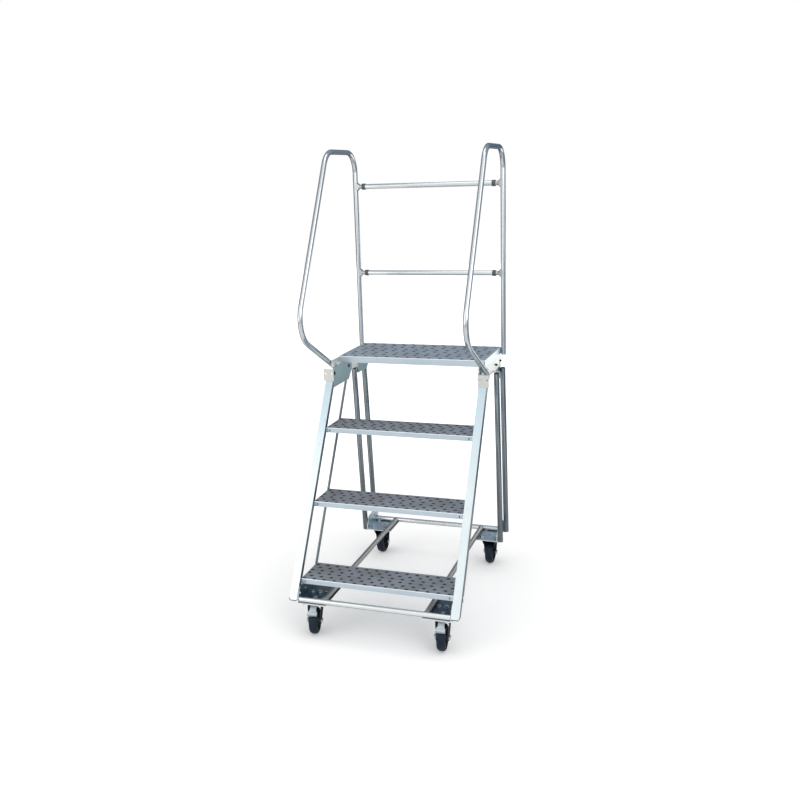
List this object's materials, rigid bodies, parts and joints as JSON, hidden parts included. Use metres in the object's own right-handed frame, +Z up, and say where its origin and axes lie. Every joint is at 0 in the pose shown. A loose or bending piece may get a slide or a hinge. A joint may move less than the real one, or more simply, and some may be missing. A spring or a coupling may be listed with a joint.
{
  "type": "mobile safety steps",
  "caption": "Wheeled access steps with plate treads, a railed platform, bent tube handrails, a tube base and braked swivel casters in front.",
  "frame": {"origin": "on the floor, under the middle of the whole assembly", "axes": "+X to the right of someone who climbs, +Y to the rear in the climbing direction, +Z up"},
  "size_m": [0.668, 0.9092, 1.762],
  "materials": {
    "zinc_tube": "bright zinc-plated round tube",
    "zinc_sheet": "bluish zinc-plated sheet and box tube",
    "tread_plate": "zinc-plated sheet with a raised anti-slip pattern",
    "caster_steel": "zinc-plated pressed steel",
    "wheel_core": "dark moulded plastic",
    "tyre_rubber": "black solid rubber"
  },
  "bodies": {
    "frame": {"tread_1": "tread_plate", "tread_2": "tread_plate", "tread_3": "tread_plate", "platform": "zinc_sheet", "guard_rail_lower": "zinc_tube", "guard_rail_upper": "zinc_tube", "front_cross_tube": "zinc_tube", "rear_cross_tube": "zinc_tube", "stile_left": "zinc_sheet", "stile_right": "zinc_sheet", "strap_left": "zinc_sheet", "strap_right": "zinc_sheet", "front_gusset_left": "zinc_sheet", "front_gusset_right": "zinc_sheet", "side_plate_left": "zinc_sheet", "side_plate_right": "zinc_sheet", "rear_gusset_left": "zinc_sheet", "rear_gusset_right": "zinc_sheet", "front_leg_left": "zinc_tube", "front_leg_right": "zinc_tube", "rear_leg_left": "zinc_tube", "rear_leg_right": "zinc_tube", "handrail_left": "zinc_tube", "handrail_right": "zinc_tube", "side_rail_left": "zinc_tube", "side_rail_right": "zinc_tube", "front_bracket_left": "zinc_sheet", "front_bracket_right": "zinc_sheet", "rear_bracket_left": "zinc_sheet", "rear_bracket_right": "zinc_sheet", "swivel_plate_left": "caster_steel", "swivel_plate_right": "caster_steel", "fixed_fork_left": "caster_steel", "fixed_fork_right": "caster_steel", "rear_axle_left": "caster_steel", "rear_axle_right": "caster_steel"},
    "front_swivel_left": {"swivel_fork_left": "caster_steel", "brake_pedal_left": "caster_steel", "front_axle_left": "caster_steel"},
    "front_roller_left": {"front_wheel_left": "wheel_core", "front_tyre_left": "tyre_rubber"},
    "rear_roller_left": {"rear_wheel_left": "wheel_core", "rear_tyre_left": "tyre_rubber"},
    "front_swivel_right": {"swivel_fork_right": "caster_steel", "brake_pedal_right": "caster_steel", "front_axle_right": "caster_steel"},
    "front_roller_right": {"front_wheel_right": "wheel_core", "front_tyre_right": "tyre_rubber"},
    "rear_roller_right": {"rear_wheel_right": "wheel_core", "rear_tyre_right": "tyre_rubber"}
  },
  "joints": [
    {"name": "front_swivel_left", "type": "hinge", "parent": "frame", "child": "front_swivel_left", "pos_m": [-0.249, -0.37335, 0.118], "axis": [0, 0, 1], "continuous": true},
    {"name": "front_wheel_left_roll", "type": "hinge", "parent": "front_swivel_left", "child": "front_roller_left", "pos_m": [-0.24318, -0.40074, 0.05], "axis": [0.9781, 0.2079, 0], "continuous": true},
    {"name": "rear_wheel_left_roll", "type": "hinge", "parent": "frame", "child": "rear_roller_left", "pos_m": [-0.249, 0.38565, 0.05], "axis": [1, 0, 0], "continuous": true},
    {"name": "front_swivel_right", "type": "hinge", "parent": "frame", "child": "front_swivel_right", "pos_m": [0.249, -0.37335, 0.118], "axis": [0, 0, 1], "continuous": true},
    {"name": "front_wheel_right_roll", "type": "hinge", "parent": "front_swivel_right", "child": "front_roller_right", "pos_m": [0.25193, -0.4012, 0.05], "axis": [0.9945, 0.1045, 0], "continuous": true},
    {"name": "rear_wheel_right_roll", "type": "hinge", "parent": "frame", "child": "rear_roller_right", "pos_m": [0.249, 0.38565, 0.05], "axis": [1, 0, 0], "continuous": true}
  ]
}
